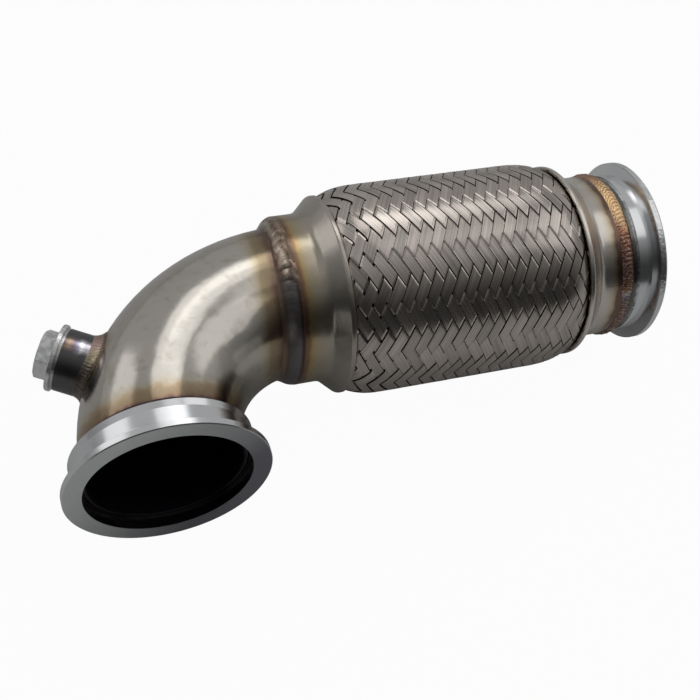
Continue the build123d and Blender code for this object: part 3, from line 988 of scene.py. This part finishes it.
class DOWNPIPE_OT_studio(bpy.types.Operator):
    """Adds the pale floor, the backdrop, the soft panels and the camera"""

    bl_idname = "downpipe.studio"
    bl_label = "Set up studio"

    def execute(self, context):
        studio = context.scene.downpipe_studio
        self.floor(studio)
        for name, *place in PANELS:
            self.panel(name, *place, getattr(studio, name))
        self.world(studio)
        self.camera(context)
        context.scene.view_settings.view_transform = "Standard"
        return {"FINISHED"}

    def panel(self, name, azimuth, elevation, distance, width, height, radiance):
        """A soft panel whose face has the given brightness, seen from the object."""
        light = bpy.data.lights.new(name, "AREA")
        light.shape = "RECTANGLE"
        light.size = width
        light.size_y = height
        light.energy = radiance * math.pi * width * height
        lamp = bpy.data.objects.new(name, light)
        a, e = math.radians(azimuth), math.radians(elevation)
        way = Vector((math.cos(a) * math.cos(e), math.sin(a) * math.cos(e), math.sin(e)))
        aim(lamp, PANEL_TARGET + way * distance, PANEL_TARGET)
        bpy.context.scene.collection.objects.link(lamp)

    def white_share(self, f, studio):
        """Share of plain white, by what sees it: the camera, or metal and glass."""
        rays = f.node("LightPath").outputs
        camera, glossy, transmission = (
            Value(f, rays[name]) for name in ("Is Camera Ray", "Is Glossy Ray", "Is Transmission Ray")
        )
        return camera * studio.white_in_view + (glossy + transmission) * studio.white_in_metal

    def floor(self, studio):
        f = Finish("floor_paper")
        share = self.white_share(f, studio)
        paper = f.node("BsdfDiffuse", {}, {"Color": tuple(studio.floor_colour)}).outputs[0]
        glow = f.node("Emission", {}, {"Color": (1, 1, 1), "Strength": 1.0}).outputs[0]
        shader = f.node("MixShader", {}, {0: share, 1: paper, 2: glow}).outputs[0]
        f.node("OutputMaterial", {}, {0: shader})
        half = 3000
        corners = ((-half, -half), (half, -half), (half, half), (-half, half))
        points = [(x, y, FLOOR_Z) for x, y in corners]
        make_piece("floor", points, [(0, 1, 2, 3)], f.material)

    def world(self, studio):
        """A room that is lighter behind and above the object than in front of it."""
        f = Finish("room", world=True)
        share = (f.y * 0.7 + f.z * 0.6 + f.x * 0.1) / ROOM_DEPTH + 0.5
        light, dark = Vector(studio.room_light), Vector(studio.room_dark)
        stops = [(place, tuple(dark.lerp(light, level))) for place, level in ROOM_LEVELS]
        white = self.white_share(f, studio)
        colour = f.mix(white, f.ramp(share, stops), (1, 1, 1))
        glow = f.node("Background", {}, {"Color": colour, "Strength": 1.0}).outputs[0]
        f.node("OutputWorld", {}, {0: glow})
        bpy.context.scene.world = f.material

    def camera(self, context):
        right = Vector((0.94821422, -0.28725476, 0.13555258))
        down = Vector((-0.15566043, -0.79224784, -0.59001118))
        forward = Vector((0.27687476, 0.53835681, -0.79593487))
        place = Matrix((right, -down, -forward)).transposed().to_4x4()
        place.translation = Vector((-0.06168413, -0.25216455, 0.44913115))
        data = bpy.data.cameras.new("camera")
        data.sensor_width = 36
        data.lens = 63.3555
        data.clip_start = 0.01
        camera = bpy.data.objects.new("camera", data)
        camera.matrix_world = place
        context.scene.collection.objects.link(camera)
        context.scene.camera = camera


# Settings that a user would change

def colour_property(name, description, default):
    return FloatVectorProperty(
        name=name, description=description, default=default, subtype="COLOR", size=3, min=0, max=1)


def brightness(name, description, default):
    return FloatProperty(name=name, description=description, default=default, min=0)


class DownpipeBraid(bpy.types.PropertyGroup):
    strand_fill: FloatProperty(
        name="Strand fill", description="Share of its place that each strand fills",
        default=0.895, min=0.5, max=1.0, subtype="FACTOR")
    strand_thickness: FloatProperty(
        name="Strand thickness", description="Thickness of a flat strand",
        default=0.00036, unit="LENGTH")
    wire_relief: FloatProperty(
        name="Wire relief", description="How far each wire stands above the lines between wires",
        default=0.00007, unit="LENGTH")
    wires: IntProperty(
        name="Wires", description="Number of wires side by side in a strand", default=8, min=2)


class DownpipeSteel(bpy.types.PropertyGroup):
    pipe_dark: colour_property("Pipe, dark", "Darker tone of the elbow", (0.5, 0.475, 0.43))
    pipe_light: colour_property("Pipe, light", "Lighter tone of the elbow", (0.66, 0.625, 0.57))
    front_cap_dark: colour_property(
        "Front cap, dark", "Darker tone of the front cap and the ferrules", (0.3465, 0.32, 0.2835))
    front_cap_light: colour_property(
        "Front cap, light", "Lighter tone of the front cap and the ferrules", (0.588, 0.546, 0.483))
    rear_cap_dark: colour_property(
        "Rear cap, dark", "Darker tone of the rear cap", (0.535, 0.5, 0.459))
    rear_cap_light: colour_property(
        "Rear cap, light", "Lighter tone of the rear cap", (0.907, 0.853, 0.782))
    flange_dark: colour_property("Flange, dark", "Darker tone of the flanges", (0.715, 0.728, 0.741))
    flange_light: colour_property("Flange, light", "Lighter tone of the flanges", (0.91, 0.9165, 0.9295))
    braid_cool: colour_property("Braid, cool", "Cooler tone of the strands", (0.43, 0.395, 0.36))
    braid_warm: colour_property("Braid, warm", "Warmer tone of the strands", (0.85, 0.765, 0.695))


class DownpipeStudio(bpy.types.PropertyGroup):
    top_panel: brightness("Top panel", "Brightness of the wide panel above", 0.78)
    core_panel: brightness("Core panel", "Brightness added at the top panel's middle", 0.62)
    upper_panel: brightness("Upper panel", "Brightness of the panel nearly overhead", 0.36)
    side_panel: brightness("Side panel", "Brightness of the low panel on the right", 0.12)
    right_panel: brightness("Right panel", "Brightness of the raised panel on the right", 0.48)
    left_panel: brightness("Left panel", "Brightness of the panel on the left", 0.52)
    white_in_view: FloatProperty(
        name="White in view", description="Share of plain white that the camera sees in floor and room",
        default=0.965, min=0, max=1, subtype="FACTOR")
    white_in_metal: FloatProperty(
        name="White in metal", description="Share of plain white that metal shows of floor and room",
        default=0.03, min=0, max=1, subtype="FACTOR")
    floor_colour: colour_property("Floor", "Colour of the floor's paper", (0.7, 0.7, 0.7))
    room_light: colour_property("Room, light", "Colour of the room behind and above", (0.4, 0.4, 0.4))
    room_dark: colour_property("Room, dark", "Colour of the room in front", (0.005, 0.005, 0.005))


PIECE_OPERATORS = (
    DOWNPIPE_OT_braid,
    DOWNPIPE_OT_inner_tubes,
    DOWNPIPE_OT_ring_welds,
    DOWNPIPE_OT_bung_weld,
    DOWNPIPE_OT_elbow,
    DOWNPIPE_OT_caps,
    DOWNPIPE_OT_flanges,
    DOWNPIPE_OT_sensor_port,
    DOWNPIPE_OT_studio,
)
SETTINGS = {
    "downpipe_braid": DownpipeBraid,
    "downpipe_steel": DownpipeSteel,
    "downpipe_studio": DownpipeStudio,
}


class DOWNPIPE_PT_panel(bpy.types.Panel):
    """Lists the downpipe's pieces and settings"""

    bl_idname = "DOWNPIPE_PT_panel"
    bl_label = "Downpipe"
    bl_space_type = "VIEW_3D"
    bl_region_type = "UI"
    bl_category = "Downpipe"

    def draw(self, context):
        for operator in PIECE_OPERATORS:
            self.layout.operator(operator.bl_idname)
        for group in SETTINGS:
            box = self.layout.box()
            values = getattr(context.scene, group)
            for name in values.__annotations__:
                box.prop(values, name)


def register():
    for group in SETTINGS.values():
        bpy.utils.register_class(group)
    for name, group in SETTINGS.items():
        setattr(bpy.types.Scene, name, PointerProperty(type=group))
    for operator in PIECE_OPERATORS:
        bpy.utils.register_class(operator)
    bpy.utils.register_class(DOWNPIPE_PT_panel)


def unregister():
    bpy.utils.unregister_class(DOWNPIPE_PT_panel)
    for operator in reversed(PIECE_OPERATORS):
        bpy.utils.unregister_class(operator)
    for name, group in SETTINGS.items():
        delattr(bpy.types.Scene, name)
        bpy.utils.unregister_class(group)


def main():
    register()
    for operator in PIECE_OPERATORS:
        category, name = operator.bl_idname.split(".")
        getattr(getattr(bpy.ops, category), name)()


if __name__ == "__main__":
    main()
